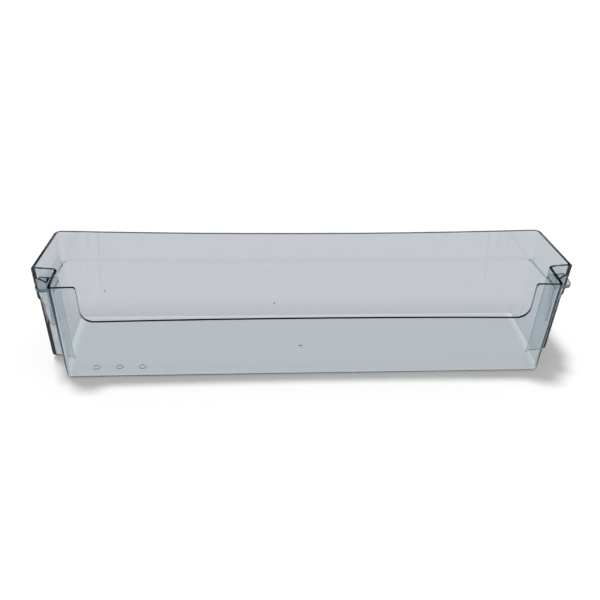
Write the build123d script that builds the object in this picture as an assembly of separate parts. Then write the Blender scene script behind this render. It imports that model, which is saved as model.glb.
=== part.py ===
from build123d import *
import os
from math import hypot, radians, tan

# Driving dimensions in millimetres, read across the rim of the moulding
rim_width = 480.0
rim_front_width = 467.5
rim_depth = 108.4
height = 96.2
wall = 2.7
floor = 2.5
draft = 2.13

# Rear part, which reaches in between the two supports of the door
rear_width = 439.1
step_depth = 35.4
step_slant = 3.2

# Band that stands out round the top of the front and the sides
band_height = 30.9
band_out = 1.6
band_slope = 1.5
band_inner_slope = 4.0

# The long walls are straight round the base and lean in at their middle above it, most at the rim
front_bow = 6.5
rear_bow = 5.3
bow_start = 8.0

# Low part of the rear wall
cutout_width = 390.8
cutout_flare = 1.2
cutout_sill = 61.0
cutout_radius = 11.0
cutout_lip_radius = 3.0

# Lug that hangs on the door's support, and the hollow guide below it
lug_top = 88.2
lug_thickness = 3.0
lug_width = 14.5
lug_rear_gap = 12.4
lug_radius = 7.0
lug_root = 1.0
guide_bottom = 40.5
guide_ledge = 61.5
guide_width = 9.3
guide_reach = 5.8
guide_inset = 0.8
guide_root = 2.0
guide_wall = 1.5
guide_step = 0.8
guide_taper = 0.045

# Radii of the upright corners, at the base and at the rim, and of the edges
rear_corner = (5.2, 3.0)
step_corner = (4.0, 3.2)
front_corner = (7.5, 6.5)
inner_corner = 1.6
base_radius = 4.8
floor_radius = 1.0
edge_radius = 0.25

lean = height * tan(radians(draft))
band_bottom = height - band_height
step_slope = step_slant / (rim_width / 2 - rear_width / 2)
side_slope = (rim_width - rim_front_width) / 2 / (rim_depth - step_depth)
lug_bottom = lug_top - lug_thickness
lug_inner = rear_width / 2 - lug_root - lean * (1 - lug_bottom / height)
lug_outer = rear_width / 2 + lug_width
lug_rear = -rim_depth / 2 + lug_rear_gap


def near(plan, points):
    """Corners of the plan that lie next to the given points."""
    return [plan.vertices().sort_by_distance(Vector(x, y, plan.center().Z))[0] for x, y in points]


def long_wall(start, end, bow):
    """Line of a long wall in the plan, with its middle moved by bow."""
    if bow == 0:
        return Line(start, end)
    return ThreePointArc(start, (0, start[1] + bow), end)


def side_face(y, out):
    """X of the side wall's face at the rim, at a place y along it, moved out by out."""
    return rim_front_width / 2 + side_slope * (rim_depth / 2 - y) + out * hypot(1, side_slope)


def outline(z, inset=0.0, band=0.0):
    """Plan of the moulding at height z, moved in by inset, with the band standing out."""
    out = band - band_out
    above = max(0, z - bow_start) / (height - bow_start)
    rear_x = rear_width / 2
    rear_y = -rim_depth / 2
    step_y = rear_y + step_depth - step_slant
    side_x = side_face(step_y - step_slope * rear_x, out) / (1 + side_slope * step_slope)
    side_y = step_y + step_slope * (side_x - rear_x)
    front_y = rim_depth / 2 + out
    front_x = side_face(front_y, out)
    rear = [(-rear_x, rear_y), (rear_x, rear_y)]
    step = [(rear_x, step_y), (-rear_x, step_y)]
    side = [(side_x, side_y), (-side_x, side_y)]
    front = [(front_x, front_y), (-front_x, front_y)]
    border = [
        long_wall(*rear, rear_bow * above),
        Line(rear[1], step[0]),
        Line(step[0], side[0]),
        Line(side[0], front[0]),
        long_wall(*front, -front_bow * above),
        Line(front[1], side[1]),
        Line(side[1], step[1]),
        Line(step[1], rear[0]),
    ]
    plan = make_face(border)
    drop = (1 - z / height) * lean + inset
    if drop:
        plan = offset(plan, amount=-drop, kind=Kind.INTERSECTION)
    grown = min(z, bow_start) / height * lean * (1 - above)
    for points, (at_base, at_rim) in ((rear, rear_corner), (front, front_corner)):
        radius = at_base * (1 - above) + at_rim * above + grown - inset
        plan = fillet(near(plan, points), max(radius, inner_corner + grown) if inset else radius)
    if inset:
        plan = fillet(near(plan, side), inner_corner + grown)
    step_radius = step_corner[0] * (1 - above) + step_corner[1] * above - grown + inset
    plan = fillet(near(plan, step), step_radius)
    return Pos(0, 0, z) * plan


def tray(bottom, radius, inset=0.0):
    """Low part of the moulding, with straight walls, rounded along its bottom."""
    block = extrude(outline(bottom, inset), amount=bow_start - bottom, taper=-draft)
    return fillet(block.faces().sort_by(Axis.Z)[0].edges(), radius)


def drafted(bottom, top, inset=0.0, band=0.0, top_band=None):
    """Solid between two heights of the drafted walls, with the band standing out by top_band at its top."""
    if top_band is None:
        top_band = band
    return loft([outline(bottom, inset, band), outline(top, inset, top_band)], ruled=True)


def step_face(x, z):
    """Y of the step's rear face, at a distance x from the middle and a height z."""
    inner_end = -rim_depth / 2 + step_depth - step_slant
    return inner_end + step_slope * (x - rear_width / 2) + (1 - z / height) * lean * hypot(1, step_slope)


def guide_plan(z, grow=0.0):
    """Three-cornered plan of the guide at height z, rooted in the face of the step."""
    outer = side_face(step_face(rim_width / 2, z), -band_out - (1 - z / height) * lean) - guide_inset
    inner = outer - guide_width - guide_taper * (z - guide_bottom) - grow
    tip = step_face(inner, z) - guide_reach - guide_taper * (z - guide_bottom) - grow
    border = Polyline(
        (inner, step_face(inner, z) + guide_root),
        (inner, tip),
        (inner + guide_wall, tip),
        (outer, step_face(outer, z) - grow),
        (outer, step_face(outer, z) + guide_root),
        close=True,
    )
    return Pos(0, 0, z) * make_face(border)


def is_free(edge):
    """True for an edge of the lug that lies away from its two roots."""
    middle = edge.center()
    return middle.X > lug_inner + lug_root and middle.Y < step_face(middle.X, lug_top)


# Tub: the drafted walls of even thickness, rounded along the base, the floor and the rim
body = tray(0, base_radius) + drafted(bow_start, band_bottom - band_slope)
body += drafted(band_bottom - band_slope, band_bottom, top_band=band_out)
body += drafted(band_bottom, height, band=band_out)
hollow = tray(floor, floor_radius, inset=wall) + drafted(bow_start, band_bottom, inset=wall)
hollow += drafted(band_bottom, band_bottom + band_inner_slope, inset=wall, top_band=band_out)
hollow += drafted(band_bottom + band_inner_slope, height + 1, inset=wall, band=band_out)
shelf = body - hollow
shelf = fillet(shelf.faces().sort_by(Axis.Z)[-1].edges(), edge_radius)

# Low part of the rear wall: the sill between two posts with rounded tops, its sides flared
sill = [(-cutout_width / 2, cutout_sill), (cutout_width / 2, cutout_sill)]
mouth = cutout_width / 2 + cutout_flare
brim = mouth + 2 * cutout_lip_radius
lip_top = height + 0.1
lips = [(mouth, lip_top), (-mouth, lip_top)]
over = [(brim, lip_top), (brim, height + wall), (-brim, height + wall), (-brim, lip_top)]
window = make_face(Polyline(*sill, lips[0], *over, lips[1], close=True))
window = fillet(near(window, sill), cutout_radius)
window = fillet(near(window, lips), cutout_lip_radius)
shelf -= extrude(Plane.XZ.offset(rim_depth / 2 - cutout_radius) * window, amount=2 * cutout_radius)

# Lug: a plate between the rear part and the step, with its free corner rounded and its edges broken
lug_plan = make_face(
    Polyline(
        (lug_inner, lug_rear),
        (lug_outer, lug_rear),
        (lug_outer, step_face(lug_outer, lug_top) + lug_root),
        (lug_inner, step_face(lug_inner, lug_top) + lug_root),
        close=True,
    )
)
lug_plan = fillet(near(lug_plan, [(lug_outer, lug_rear)]), lug_radius)
lug = extrude(Pos(0, 0, lug_bottom) * lug_plan, amount=lug_thickness)
free_edges = lug.faces().filter_by(Axis.Z).edges().filter_by(is_free)
lug = chamfer(free_edges, edge_radius)

# Guide: a hollow rib under the lug, open below, with a ledge half way up
guide = loft([guide_plan(guide_bottom), guide_plan(guide_ledge)], ruled=True)
guide += loft([guide_plan(guide_ledge, guide_step), guide_plan(lug_bottom + 1, guide_step)], ruled=True)
pocket_plans = [offset(guide_plan(z), amount=-guide_wall) for z in (guide_bottom - 1, lug_bottom)]
guide -= loft(pocket_plans, ruled=True)

hanger = lug + guide
shelf += hanger
shelf += mirror(hanger, about=Plane.YZ)

# The origin is the middle of the base
shelf = Pos(0, -shelf.bounding_box().center().Y, 0) * shelf
print("size", shelf.bounding_box().size, "volume", round(shelf.volume), "faces", len(shelf.faces()))

os.makedirs("parts", exist_ok=True)
export_step(shelf, "parts/door_shelf.step")
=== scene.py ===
# %% [markdown]
# A fridge door shelf: one moulding of clear, slightly smoky plastic that hangs on the inside of a
# fridge door. Its shape comes finished from the CAD model, which is loaded here as a frame that is
# never moved. What is left for Blender is the look: the plastic, the small moulded marks on the
# floor of the tub, the light and the camera.

# %% Load the frame
import bpy
import bmesh
from math import degrees, pi, radians, tan
from mathutils import Matrix, Vector


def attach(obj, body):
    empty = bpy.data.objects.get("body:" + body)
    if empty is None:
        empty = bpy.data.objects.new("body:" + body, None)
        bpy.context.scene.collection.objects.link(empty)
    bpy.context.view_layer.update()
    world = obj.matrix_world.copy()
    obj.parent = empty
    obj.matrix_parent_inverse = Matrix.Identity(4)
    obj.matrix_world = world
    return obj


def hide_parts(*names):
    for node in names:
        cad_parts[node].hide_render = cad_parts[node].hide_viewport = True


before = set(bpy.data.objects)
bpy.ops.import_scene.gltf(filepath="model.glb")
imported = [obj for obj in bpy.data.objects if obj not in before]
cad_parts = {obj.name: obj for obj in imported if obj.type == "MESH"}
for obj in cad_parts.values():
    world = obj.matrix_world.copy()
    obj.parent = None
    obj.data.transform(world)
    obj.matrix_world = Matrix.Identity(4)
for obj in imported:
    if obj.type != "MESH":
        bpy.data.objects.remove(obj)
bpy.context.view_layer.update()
shelf_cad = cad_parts["door_shelf"]
print("triangles in the CAD mesh:", len(shelf_cad.data.polygons))

# %% [markdown]
# The camera stands on the door's side of the shelf, a little left of the middle, and looks down
# into it. Its place can be found by trying, or worked out from straight edges of known length in
# the picture. Here it was worked out, so place, turn and focal length are given as numbers.
# The roll is small: the shelf stands about two degrees off level in the picture.

# %% Camera
camera_place = Vector((-0.05431, -0.59975, 0.41856))
camera_yaw = radians(-4.719)
camera_pitch = radians(31.481)
camera_roll = radians(1.969)
focal_pixels = 753.51
image_pixels = 600


def put_in_scene(name, data):
    """New object of that name, linked to the scene."""
    thing = bpy.data.objects.new(name, data)
    bpy.context.scene.collection.objects.link(thing)
    return thing


camera_data = bpy.data.cameras.new("camera")
camera_data.sensor_width = 36.0
camera_data.lens = camera_data.sensor_width * focal_pixels / image_pixels
camera_data.clip_start = 0.01
camera = put_in_scene("camera", camera_data)
turn = Matrix.Rotation(camera_yaw, 4, "Z") @ Matrix.Rotation(radians(90) - camera_pitch, 4, "X")
camera.matrix_world = Matrix.Translation(camera_place) @ turn @ Matrix.Rotation(camera_roll, 4, "Z")
bpy.context.scene.camera = camera
print("focal length in mm:", round(camera_data.lens, 2))

# %% [markdown]
# Clear plastic shows whatever lies behind it, so the floor and the world are half of its look.
# The shelf was pictured in front of pale grey paper and then set on white. The white is what
# the camera sees directly, and the pale grey is what it sees through the plastic or mirrored in it.
# The Light Path node tells these rays apart. Rays that have already lit something by way of the
# floor are left out by their diffuse depth, so the grey adds no light to the scene.

# %% Rays from the camera, and rays by way of the plastic
under_one_turn = 0.5


def add_math(tree, operation, first, second=0.0):
    """Output of a new Math node. Each input is a socket to link or a plain number."""
    node = tree.nodes.new("ShaderNodeMath")
    node.operation = operation
    for given, side in zip((first, second), node.inputs):
        if isinstance(given, bpy.types.NodeSocket):
            tree.links.new(given, side)
        else:
            side.default_value = given
    return node.outputs[0]


def ray_kinds(tree):
    """Two sockets: 1 for a ray straight from the camera, and 1 for one that met clear plastic."""
    path = tree.nodes.new("ShaderNodeLightPath")
    met = add_math(tree, "MAXIMUM", path.outputs["Is Glossy Ray"], path.outputs["Is Transmission Ray"])
    early = add_math(tree, "LESS_THAN", path.outputs["Diffuse Depth"], under_one_turn)
    return path.outputs["Is Camera Ray"], add_math(tree, "MULTIPLY", met, early)


print("a ray counts as early with fewer diffuse turns than", under_one_turn)

# %% [markdown]
# The world is an even dim white that lights the scene, white for the camera, and the grey of the
# paper for the plastic. The paper fades out a little above the horizon, and what is mirrored from
# higher up is dark. That is what draws the rims and the edges of a clear thing as dark lines.

# %% World
paper_grey = (0.677, 0.678, 0.706)
above_grey = (0.06, 0.085, 0.095)
world_light = 0.35
paper_until = 0.05
dark_from = 0.35


def add_range(tree, value, start, end, low=0.0, high=1.0, kind="LINEAR"):
    """Output of a new Map Range node: low where value is start, high where it is end."""
    node = tree.nodes.new("ShaderNodeMapRange")
    node.interpolation_type = kind
    tree.links.new(value, node.inputs["Value"])
    limits = {"From Min": start, "From Max": end, "To Min": low, "To Max": high}
    for label, limit in limits.items():
        node.inputs[label].default_value = limit
    return node.outputs["Result"]


def either_shader(tree, choice, no, yes):
    """Shader that is no where choice is 0 and yes where it is 1."""
    mix = tree.nodes.new("ShaderNodeMixShader")
    tree.links.new(choice, mix.inputs[0])
    tree.links.new(no, mix.inputs[1])
    tree.links.new(yes, mix.inputs[2])
    return mix.outputs[0]


world = bpy.data.worlds.new("studio")
world.use_nodes = True
bpy.context.scene.world = world
world_tree = world.node_tree
lighting = world_tree.nodes["Background"]
white, paper, above = (world_tree.nodes.new("ShaderNodeBackground") for _ in range(3))
lighting.inputs["Strength"].default_value = world_light
pure_white = (1.0, 1.0, 1.0)
colours = (pure_white, pure_white, paper_grey, above_grey)
for shader, colour in zip((lighting, white, paper, above), colours):
    shader.inputs["Color"].default_value = (*colour, 1.0)

direction = world_tree.nodes.new("ShaderNodeTexCoord")
split = world_tree.nodes.new("ShaderNodeSeparateXYZ")
world_tree.links.new(direction.outputs["Generated"], split.inputs[0])
fade = add_range(world_tree, split.outputs["Z"], paper_until, dark_from, kind="SMOOTHSTEP")
from_camera, by_plastic = ray_kinds(world_tree)
around = either_shader(world_tree, fade, paper.outputs[0], above.outputs[0])
lit = either_shader(world_tree, by_plastic, lighting.outputs[0], around)
seen = either_shader(world_tree, from_camera, lit, white.outputs[0])
world_tree.links.new(seen, world_tree.nodes["World Output"].inputs["Surface"])
print("paper grey:", paper_grey, "light of the world:", world_light)

# %% [markdown]
# The floor is white card with a faint grain. For the camera it glows a little, so that the open
# card is white and only the shadow of the shelf is grey. More light would do that too, but it would
# also fall on the shelf.

# %% White card
card_white = 0.8
card_glow = 0.235
grain_scale = 900.0
grain_detail = 2.0
grain_spread = 0.01


def add_noise(tree, vector, scale, detail):
    """Output of a new Noise Texture on the given coordinates."""
    node = tree.nodes.new("ShaderNodeTexNoise")
    node.inputs["Scale"].default_value = scale
    node.inputs["Detail"].default_value = detail
    tree.links.new(vector, node.inputs["Vector"])
    return node.outputs["Fac"]


card = bpy.data.materials.new("white_card")
card.use_nodes = True
card_tree = card.node_tree
card_bsdf = card_tree.nodes["Principled BSDF"]
card_bsdf.inputs["Roughness"].default_value = 1.0
card_bsdf.inputs["Specular IOR Level"].default_value = 0.0
card_bsdf.inputs["Emission Color"].default_value = (1.0, 1.0, 1.0, 1.0)
card_place = card_tree.nodes.new("ShaderNodeTexCoord").outputs["Object"]
grain = add_noise(card_tree, card_place, grain_scale, grain_detail)
tone = add_range(card_tree, grain, 0.0, 1.0, card_white - grain_spread, card_white + grain_spread)
card_tree.links.new(tone, card_bsdf.inputs["Base Color"])
from_camera, by_plastic = ray_kinds(card_tree)
glow = add_math(card_tree, "MULTIPLY", from_camera, card_glow)
card_tree.links.new(glow, card_bsdf.inputs["Emission Strength"])
print("white of the card:", card_white, "glow for the camera:", card_glow)

# %% [markdown]
# Through the plastic the card is the same grey paper as the world, so no edge shows between the
# two. Round the base the paper is darker by a painted shadow: lowered glow that stands in for the
# shade of the shelf. It is measured as the distance from a plain box in the X and Y of the floor.
# Just inside the box a painted line of light makes the paper paler, where the rounded edge of the
# base would gather light close behind it. The box is a little deeper than the base to leave room
# for that painted line.

# %% Paper seen through the plastic, with painted shadow and painted light
base_half = (0.221, 0.056)
# Reach and depth of the painted shadow round the base, then width and gain of the painted line of
# light.
painted_shadow_reach = 0.035
painted_shadow_depth = 0.13
painted_light_width = 0.009
painted_light_gain = 0.3

card_split = card_tree.nodes.new("ShaderNodeSeparateXYZ")
card_tree.links.new(card_place, card_split.inputs[0])
beyond = []
for axis, half in zip("XY", base_half):
    from_middle = add_math(card_tree, "ABSOLUTE", card_split.outputs[axis])
    beyond.append(add_math(card_tree, "SUBTRACT", from_middle, half))
outside = add_math(card_tree, "MAXIMUM", *beyond)
# Painted shadow: the paper's glow is lowered within reach of the base.
painted_shadow_level = 1.0 - painted_shadow_depth
painted_shadow = add_range(card_tree, outside, 0.0, painted_shadow_reach, painted_shadow_level, 1.0, "SMOOTHSTEP")
# Painted line of light: the paper's glow is raised just inside the box.
is_under = add_math(card_tree, "LESS_THAN", outside, 0.0)
painted_light_level = 1.0 + painted_light_gain
painted_light_line = add_range(card_tree, outside, -painted_light_width, 0.0, 1.0, painted_light_level, "SMOOTHSTEP")
painted_light_inside = add_math(card_tree, "MULTIPLY", is_under, painted_light_line)
paper_painted_shade_and_light = add_math(card_tree, "MAXIMUM", painted_shadow, painted_light_inside)
card_grey = card_tree.nodes.new("ShaderNodeEmission")
card_grey.inputs["Color"].default_value = (*paper_grey, 1.0)
card_tree.links.new(paper_painted_shade_and_light, card_grey.inputs["Strength"])
seen = either_shader(card_tree, by_plastic, card_bsdf.outputs[0], card_grey.outputs[0])
card_tree.links.new(seen, card_tree.nodes["Material Output"].inputs["Surface"])
print("paper round the base is darker by:", painted_shadow_depth, "within mm:", 1000 * painted_shadow_reach)

# %% [markdown]
# The floor itself is one large square of that card, far wider than the view. It lies a hair below
# the shelf, because two faces in the same place would show as a flicker of both.

# %% Floor
floor_half = 6.0
floor_drop = 0.0003

floor_mesh = bpy.data.meshes.new("floor")
floor_corners = [(-floor_half, -floor_half, 0), (floor_half, -floor_half, 0)]
floor_corners += [(floor_half, floor_half, 0), (-floor_half, floor_half, 0)]
floor_mesh.from_pydata(floor_corners, [], [(0, 1, 2, 3)])
floor_mesh.materials.append(card)
floor = put_in_scene("floor", floor_mesh)
floor.location.z = -floor_drop
print("floor lies below the shelf by mm:", 1000 * floor_drop)

# %% [markdown]
# Seen from the camera, the floor of the tub mirrors what is low behind the shelf, and the rims
# mirror what is higher. In the picture the floor is pale and the rims are nearly black, so
# something pale was close behind and no higher than a hand. A strip of card hung there does the
# same. It only has to be there for the plastic, so it is hidden from the camera, from the lamp and
# from the light that the floor scatters. It fades out towards its top, because a hard edge would
# show in the plastic as a line.

# %% Low card behind the shelf
low_card_place = 0.15
low_card_bottom = 0.045
low_card_top = 0.19
low_card_fade = (0.150, 0.178)
low_card_half = 0.8
low_card_gain = 1.05

low_grey = bpy.data.materials.new("low_card_grey")
low_grey.use_nodes = True
low_tree = low_grey.node_tree
low_tree.nodes.remove(low_tree.nodes["Principled BSDF"])
low_place = low_tree.nodes.new("ShaderNodeTexCoord")
low_split = low_tree.nodes.new("ShaderNodeSeparateXYZ")
low_tree.links.new(low_place.outputs["Object"], low_split.inputs[0])
low_fade = add_range(low_tree, low_split.outputs["Z"], *low_card_fade, kind="SMOOTHSTEP")
low_emission = low_tree.nodes.new("ShaderNodeEmission")
low_emission.inputs["Color"].default_value = (*paper_grey, 1.0)
low_emission.inputs["Strength"].default_value = low_card_gain
low_clear = low_tree.nodes.new("ShaderNodeBsdfTransparent")
seen = either_shader(low_tree, low_fade, low_emission.outputs[0], low_clear.outputs[0])
low_tree.links.new(seen, low_tree.nodes["Material Output"].inputs["Surface"])

low_mesh = bpy.data.meshes.new("low_card")
low_ends = (-low_card_half, low_card_half)
low_corners = [(x, low_card_place, z) for z in (low_card_bottom, low_card_top) for x in low_ends]
low_mesh.from_pydata(low_corners, [], [(0, 1, 3, 2)])
low_mesh.materials.append(low_grey)
low_card = put_in_scene("low_card", low_mesh)
low_card.visible_camera = False
low_card.visible_diffuse = False
low_card.visible_shadow = False
print("low card is bright up to mm:", 1000 * low_card_fade[0])

# %% [markdown]
# One broad lamp stands high over the shelf. In the picture it is a little behind the shelf and to
# the left, so a short soft shadow falls towards the camera and to the right. A sun lamp with a wide
# disc gives the open floor the same light everywhere. It isn't mirrored in the plastic, because
# the picture shows no glare.

# %% Lamp
lamp_disc = 0.19
lamp_strength = 2.09
lamp_way = Vector((0.15, -0.15, -1.0))

lamp_data = bpy.data.lights.new("broad_lamp", "SUN")
lamp_data.angle = lamp_disc
lamp_data.energy = lamp_strength
lamp = put_in_scene("broad_lamp", lamp_data)
lamp.rotation_euler = lamp_way.to_track_quat("-Z", "Y").to_euler()
lamp.visible_glossy = False
lamp.visible_transmission = False
print("disc of the lamp in degrees:", round(degrees(lamp_disc), 1))

# %% [markdown]
# The Standard view shows colours about as they are written. Light turns many times inside a clear
# wall before it leaves it, and where it is cut short the plastic goes black, so it is allowed
# more turns than usual.

# %% View and turns of light
light_turns = 40

bpy.context.scene.view_settings.view_transform = "Standard"
bpy.context.scene.cycles.max_bounces = light_turns
bpy.context.scene.cycles.transmission_bounces = light_turns
bpy.context.scene.cycles.glossy_bounces = light_turns
print("light may turn this many times inside the plastic:", light_turns)

# %% [markdown]
# The plastic is clear with a smoky, cool tint. The tint belongs to the depth of the plastic and not
# to its surface: one wall is light, and an edge, where light runs a long way inside the wall, is
# nearly black. A tinted surface would make all walls alike. So the surface is colourless, and a
# Volume Absorption takes the light out by the length of its way. Its colour is what each
# channel keeps, and its density is how fast the rest is lost for each metre.

# %% Clear plastic
lost_each_metre = (60.0, 45.0, 40.0)
density = 100.0
kept = [1.0 - lost / density for lost in lost_each_metre]
bending = 1.59

plastic = bpy.data.materials.new("clear_plastic")
plastic.use_nodes = True
plastic_tree = plastic.node_tree
plastic_bsdf = plastic_tree.nodes["Principled BSDF"]
plastic_bsdf.inputs["Base Color"].default_value = (1.0, 1.0, 1.0, 1.0)
plastic_bsdf.inputs["Transmission Weight"].default_value = 1.0
plastic_bsdf.inputs["IOR"].default_value = bending
absorption = plastic_tree.nodes.new("ShaderNodeVolumeAbsorption")
absorption.inputs["Color"].default_value = (*kept, 1.0)
absorption.inputs["Density"].default_value = density
plastic_out = plastic_tree.nodes["Material Output"]
plastic_tree.links.new(absorption.outputs["Volume"], plastic_out.inputs["Volume"])
print("kept of each channel:", [round(v, 3) for v in kept])

# %% [markdown]
# A moulded wall is polished but not perfect. Wiping leaves a faint haze in soft patches and fine
# streaks along the shelf. Both are roughness, from two noises on Object coordinates. The second
# is stretched by a Mapping node, so its spots become streaks along X.

# %% Haze and wiping streaks
haze_low = 0.008
haze_high = 0.022
patch_scale, patch_detail = 22.0, 4.0
patch_range = (0.4, 0.7)
streak_haze = 0.010
streak_scale, streak_detail = (30.0, 900.0, 900.0), 3.0
streak_range = (0.6, 0.8)

plastic_place = plastic_tree.nodes.new("ShaderNodeTexCoord").outputs["Object"]
patches = add_noise(plastic_tree, plastic_place, patch_scale, patch_detail)
haze = add_range(plastic_tree, patches, *patch_range, haze_low, haze_high)
stretched = plastic_tree.nodes.new("ShaderNodeMapping")
stretched.inputs["Scale"].default_value = streak_scale
plastic_tree.links.new(plastic_place, stretched.inputs["Vector"])
wiping = add_noise(plastic_tree, stretched.outputs["Vector"], 1.0, streak_detail)
streaks = add_range(plastic_tree, wiping, *streak_range, high=streak_haze)
wiped = add_math(plastic_tree, "ADD", haze, streaks)
print("roughness of the walls:", haze_low, "to", haze_high + streak_haze)

# %% [markdown]
# The underside slides on other shelves and is scuffed dull. No mask has to be painted for that: the
# scuffs are wherever the height above the floor is almost nothing.

# %% Scuffed underside
scuffed_below = 0.0006
scuff_haze = 0.14

plastic_split = plastic_tree.nodes.new("ShaderNodeSeparateXYZ")
plastic_tree.links.new(plastic_place, plastic_split.inputs[0])
scuff = add_range(plastic_tree, plastic_split.outputs["Z"], scuffed_below, 0.0, high=scuff_haze)
worn = add_math(plastic_tree, "ADD", wiped, scuff)
plastic_tree.links.new(worn, plastic_bsdf.inputs["Roughness"])
print("roughness that the scuffs add to the underside:", scuff_haze)

# %% [markdown]
# The mould itself leaves a very shallow waviness, which bends what is seen through the wall a
# little. It is far too shallow to be modelled, so a Bump node tilts the normals instead.

# %% Waviness
wave_depth = 0.000005
wave_scale, wave_detail = 60.0, 1.0

waves = add_noise(plastic_tree, plastic_place, wave_scale, wave_detail)
mould = plastic_tree.nodes.new("ShaderNodeBump")
mould.inputs["Distance"].default_value = wave_depth
plastic_tree.links.new(waves, mould.inputs["Height"])
plastic_tree.links.new(mould.outputs["Normal"], plastic_bsdf.inputs["Normal"])
print("depth of the waves in mm:", 1000 * wave_depth)

# %% [markdown]
# Two dark specks show on the inside of the front wall, the kind of dirt or scorched grain that clear
# mouldings often have. They are too flat to be shapes of their own, so each is a small dark
# spot in the colour of the surface, by its distance from a place on the wall.

# %% Specks
speck_places = ((-0.0268, 0.0464, 0.0180), (-0.1936, 0.0471, 0.0335))
speck_radius = 0.0011
speck_tone = 0.03

specks = []
for speck_place in speck_places:
    away = plastic_tree.nodes.new("ShaderNodeVectorMath")
    away.operation = "DISTANCE"
    plastic_tree.links.new(plastic_place, away.inputs[0])
    away.inputs[1].default_value = speck_place
    distance = away.outputs["Value"]
    specks.append(add_range(plastic_tree, distance, speck_radius / 2, speck_radius, low=speck_tone))
speckled = add_math(plastic_tree, "MULTIPLY", *specks)
plastic_tree.links.new(speckled, plastic_bsdf.inputs["Base Color"])
print("specks:", len(specks))

# %% [markdown]
# The shelf itself is a copy of the CAD mesh. That mesh is loose triangles, so the copy's doubles
# are merged first, which makes it one closed skin. A closed skin matters here, because the
# absorption needs to know where the plastic starts and ends. The normals that came with the
# triangles no longer fit the merged skin, so they are taken off, and new ones follow at the end.

# %% Shelf
same_point = 1e-6


def open_edges(work):
    """Number of edges that don't have a face on both sides."""
    return sum(not edge.is_manifold for edge in work.edges)


shelf_mesh = shelf_cad.data.copy()
work = bmesh.new()
work.from_mesh(shelf_mesh)
bmesh.ops.remove_doubles(work, verts=work.verts, dist=same_point)
print("open edges after merging:", open_edges(work))
work.to_mesh(shelf_mesh)
work.free()
for loaded in ("custom_normal", "sharp_edge", "sharp_face"):
    if loaded in shelf_mesh.attributes:
        shelf_mesh.attributes.remove(shelf_mesh.attributes[loaded])
shelf_mesh.materials.clear()
shelf_mesh.materials.append(plastic)
shelf = put_in_scene("shelf_body", shelf_mesh)
print("faces in the shelf:", len(shelf_mesh.polygons))

# %% [markdown]
# Three small moulded marks stand in a row on the floor of the tub, near its rear wall. They are
# plain raised rings here. Rings in a row are a job for Geometry Nodes: a line of points, a circle
# swept along a circle, and one instance at each point. The tree's inputs are its sizes, so
# the row can be changed without touching the nodes.

# %% Tree for a row of rings
ring_corners = 40
ridge_corners = 12

rows = bpy.data.node_groups.new("ring_row", "GeometryNodeTree")
rows.interface.new_socket("Geometry", in_out="INPUT", socket_type="NodeSocketGeometry")
row_sockets = {}
row_inputs = {"First place": "Vector", "Pitch": "Float", "Count": "Int", "Ring radius": "Float"}
row_inputs |= {"Ridge": "Float", "Finish": "Material"}
for label, kind in row_inputs.items():
    socket_type = "NodeSocket" + kind
    row_sockets[label] = rows.interface.new_socket(label, in_out="INPUT", socket_type=socket_type)
rows.interface.new_socket("Geometry", in_out="OUTPUT", socket_type="NodeSocketGeometry")

row_in = rows.nodes.new("NodeGroupInput")
row_out = rows.nodes.new("NodeGroupOutput")
row_step = rows.nodes.new("ShaderNodeCombineXYZ")
rows.links.new(row_in.outputs["Pitch"], row_step.inputs["X"])
row_points = rows.nodes.new("GeometryNodeMeshLine")
rows.links.new(row_in.outputs["Count"], row_points.inputs["Count"])
rows.links.new(row_in.outputs["First place"], row_points.inputs["Start Location"])
rows.links.new(row_step.outputs[0], row_points.inputs["Offset"])
ring_line = rows.nodes.new("GeometryNodeCurvePrimitiveCircle")
ring_line.inputs["Resolution"].default_value = ring_corners
rows.links.new(row_in.outputs["Ring radius"], ring_line.inputs["Radius"])
ring_section = rows.nodes.new("GeometryNodeCurvePrimitiveCircle")
ring_section.inputs["Resolution"].default_value = ridge_corners
rows.links.new(row_in.outputs["Ridge"], ring_section.inputs["Radius"])
ring = rows.nodes.new("GeometryNodeCurveToMesh")
rows.links.new(ring_line.outputs["Curve"], ring.inputs["Curve"])
rows.links.new(ring_section.outputs["Curve"], ring.inputs["Profile Curve"])
ring_each = rows.nodes.new("GeometryNodeInstanceOnPoints")
rows.links.new(row_points.outputs["Mesh"], ring_each.inputs["Points"])
rows.links.new(ring.outputs["Mesh"], ring_each.inputs["Instance"])
ring_real = rows.nodes.new("GeometryNodeRealizeInstances")
rows.links.new(ring_each.outputs["Instances"], ring_real.inputs["Geometry"])
ring_finish = rows.nodes.new("GeometryNodeSetMaterial")
rows.links.new(ring_real.outputs["Geometry"], ring_finish.inputs["Geometry"])
rows.links.new(row_in.outputs["Finish"], ring_finish.inputs["Material"])
rows.links.new(ring_finish.outputs["Geometry"], row_out.inputs["Geometry"])
print("inputs of the row:", list(row_sockets))

# %% [markdown]
# The row gets its sizes through a modifier, whose inputs go by the socket's identifier. The result
# is kept as a plain mesh and the modifier is taken off, because the marks are to become part of
# the shelf.

# %% Row of rings
row_sizes = {"First place": Vector((-0.1915, -0.0352, 0.0025)), "Pitch": 0.0208, "Count": 3}
row_sizes |= {"Ring radius": 0.0029, "Ridge": 0.00045, "Finish": plastic}


def settle(piece):
    """Plain mesh with the work of the piece's modifiers in it, which becomes the piece's own."""
    bpy.context.view_layer.update()
    worked = piece.evaluated_get(bpy.context.evaluated_depsgraph_get())
    settled = bpy.data.meshes.new_from_object(worked)
    piece.modifiers.clear()
    piece.data = settled
    return settled


marks = put_in_scene("floor_marks", bpy.data.meshes.new("floor_marks"))
row_modifier = marks.modifiers.new("ring_row", "NODES")
row_modifier.node_group = rows
for label, given in row_sizes.items():
    row_modifier[row_sockets[label].identifier] = given
print("faces in the row of rings:", len(settle(marks).polygons))

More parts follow.
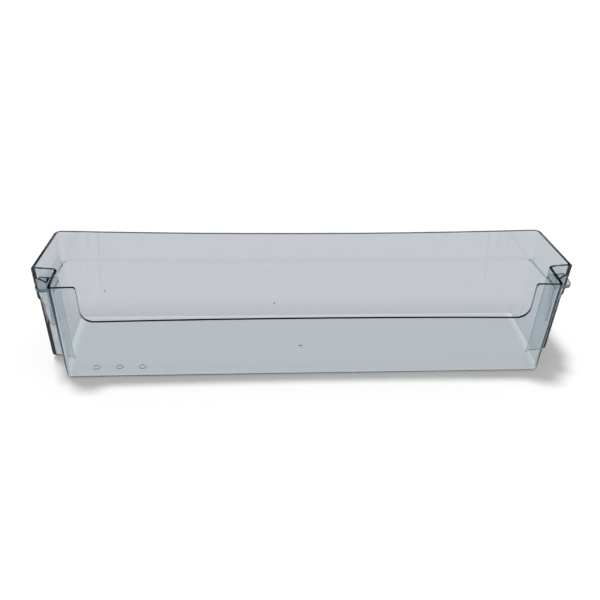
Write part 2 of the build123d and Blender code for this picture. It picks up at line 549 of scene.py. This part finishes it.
# %% [markdown]
# In the middle of the floor is the scar of the gate, where the plastic flowed into the mould: a low
# button. It is a lathe shape, so its profile is turned round the upright axis with Blender's spin.
# The points where the turn starts and ends are merged, which closes it.

# %% Gate scar
gate_place = Vector((-0.0031, -0.0041, 0.0025))
gate_profile = [(0.0, 0.0006), (0.0008, 0.00054), (0.0016, 0.00034), (0.0022, 0.00008)]
gate_profile += [(0.0026, -0.0006), (0.0, -0.0006)]
gate_steps = 32
gate_same_point = 1e-7
no_length = 1e-8
upright = (0, 0, 1)
gate_middle = (0, 0, 0)

gate_mesh = bpy.data.meshes.new("gate_scar")
work = bmesh.new()
gate_line = [work.verts.new((r, 0.0, z)) for r, z in gate_profile]
gate_turned = gate_line + [work.edges.new(pair) for pair in zip(gate_line, gate_line[1:])]
bmesh.ops.spin(work, geom=gate_turned, axis=upright, cent=gate_middle, angle=2 * pi, steps=gate_steps)
bmesh.ops.remove_doubles(work, verts=work.verts, dist=gate_same_point)
bmesh.ops.dissolve_degenerate(work, edges=work.edges, dist=no_length)
bmesh.ops.recalc_face_normals(work, faces=work.faces)
bmesh.ops.translate(work, verts=work.verts, vec=gate_place)
work.to_mesh(gate_mesh)
work.free()
gate_mesh.materials.append(plastic)
gate = put_in_scene("gate_scar", gate_mesh)
print("faces in the gate scar:", len(gate_mesh.polygons))

# %% [markdown]
# The marks are one piece with the shelf on the real moulding, and they have to be in the model too:
# a ring that only overlapped the floor would show its buried half through the clear plastic.
# So a Boolean modifier unites them with the shelf, and the result is kept as a plain mesh.

# %% Marks joined to the shelf
for mark in (marks, gate):
    joined = shelf.modifiers.new("joined_" + mark.name, "BOOLEAN")
    joined.operation = "UNION"
    joined.solver = "EXACT"
    joined.object = mark
shelf_mesh = settle(shelf)
for mark in (marks, gate):
    bpy.data.objects.remove(mark)
print("faces with the marks:", len(shelf_mesh.polygons))

# %% [markdown]
# The two long walls are bowed so little that the CAD mesh has only a few large, uneven triangles on
# them. Seen through such a wall, a straight line would wobble. More triangles help only where
# normals can be set on them, so the skin is first cut into upright strips. The cuts add corners on
# the faces that are there, and the form stays as it was.

# %% Strips for the long walls
strip_width = 0.015
strip_reach = 0.225

work = bmesh.new()
work.from_mesh(shelf_mesh)
cut_count = int(2 * strip_reach / strip_width) + 1
for cut in range(cut_count):
    cut_place = (-strip_reach + cut * strip_width, 0, 0)
    skin = work.verts[:] + work.edges[:] + work.faces[:]
    bmesh.ops.bisect_plane(work, geom=skin, dist=same_point, plane_co=cut_place, plane_no=(1, 0, 0))
print("cuts:", cut_count, "open edges:", open_edges(work))
work.to_mesh(shelf_mesh)
work.free()
print("faces in strips:", len(shelf_mesh.polygons))

# %% [markdown]
# Now comes the shading of the skin. Round corners are to look round and the cut edges crisp, so
# edges over a set angle are marked sharp, and normals are weighted by face area, which
# keeps the large flat walls flat next to their small fillets.

# %% Shading
sharp_angle = 35
area_weight = 60

shelf_mesh.shade_smooth()
shelf_mesh.set_sharp_from_angle(angle=radians(sharp_angle))
weighted = shelf.modifiers.new("weighted_normals", "WEIGHTED_NORMAL")
weighted.keep_sharp = True
weighted.mode = "FACE_AREA_WITH_ANGLE"
weighted.weight = area_weight
shelf_mesh = settle(shelf)
print("edges sharper than", sharp_angle, "degrees stay crisp")

# %% [markdown]
# The form of the long walls is known: each leans out by the draft of the mould, and its middle
# leans in by the bow, more the higher it is. The slopes of that form give the normal at every
# corner. Both faces of a wall then agree, so the wall bends what is seen through it evenly.

# %% Form of the long walls
wall_draft = radians(2.13)
wall_top = max(vertex.co.z for vertex in shelf_mesh.vertices)
bow_start = 0.008
front_wall = {"side": 1.0, "bow": 0.0065, "half": 0.2337, "straight": 0.225}
rear_wall = {"side": -1.0, "bow": 0.0053, "half": 0.2195, "straight": 0.213}


def wall_normal(point, wall):
    """Outward normal of a long wall at a point."""
    risen = max(0.0, point.z - bow_start) / (wall_top - bow_start)
    along = point.x / wall["half"]
    slope_x = 2 * wall["bow"] * risen * along / wall["half"]
    slope_z = tan(wall_draft) - wall["bow"] / (wall_top - bow_start) * (1 - along ** 2)
    return Vector((-slope_x, wall["side"], -slope_z)).normalized()


print("top of the walls in mm:", round(1000 * wall_top, 1))

# %% [markdown]
# These normals go on every face that looks along Y between the base and the rim. Two narrow
# shoulders carry the band round the top. The outer one is crisp, so its faces keep their own
# normals. The inner one is soft, so its normals lie half way between its own faces and the wall.

# %% Normals of the long walls
wall_facing = 0.6
soft_tilt = 0.15
crisp_tilt = 0.5
rim_edge = 0.001

normals = [Vector(corner.vector) for corner in shelf_mesh.corner_normals]
largest_turn = 0.0
for face in shelf_mesh.polygons:
    wall = front_wall if face.center.y > 0 else rear_wall
    is_between = bow_start < face.center.z < wall_top - rim_edge
    if not is_between or abs(face.center.x) > wall["straight"] or abs(face.normal.y) < wall_facing:
        continue
    tilt = abs(face.normal.z)
    for corner in face.loop_indices:
        point = shelf_mesh.vertices[shelf_mesh.loops[corner].vertex_index].co
        normal = wall_normal(point, wall)
        normal = normal if normal.dot(face.normal) > 0 else -normal
        if tilt > crisp_tilt:
            normal = face.normal.copy()
        elif tilt > soft_tilt:
            normal = (normal + face.normal).normalized()
        largest_turn = max(largest_turn, normal.angle(face.normal))
        normals[corner] = normal
shelf_mesh.normals_split_custom_set(normals)
print("largest turn of a normal from its face in degrees:", round(degrees(largest_turn), 1))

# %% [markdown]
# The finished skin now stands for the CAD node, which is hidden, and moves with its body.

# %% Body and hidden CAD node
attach(shelf, "root")
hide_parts("door_shelf")
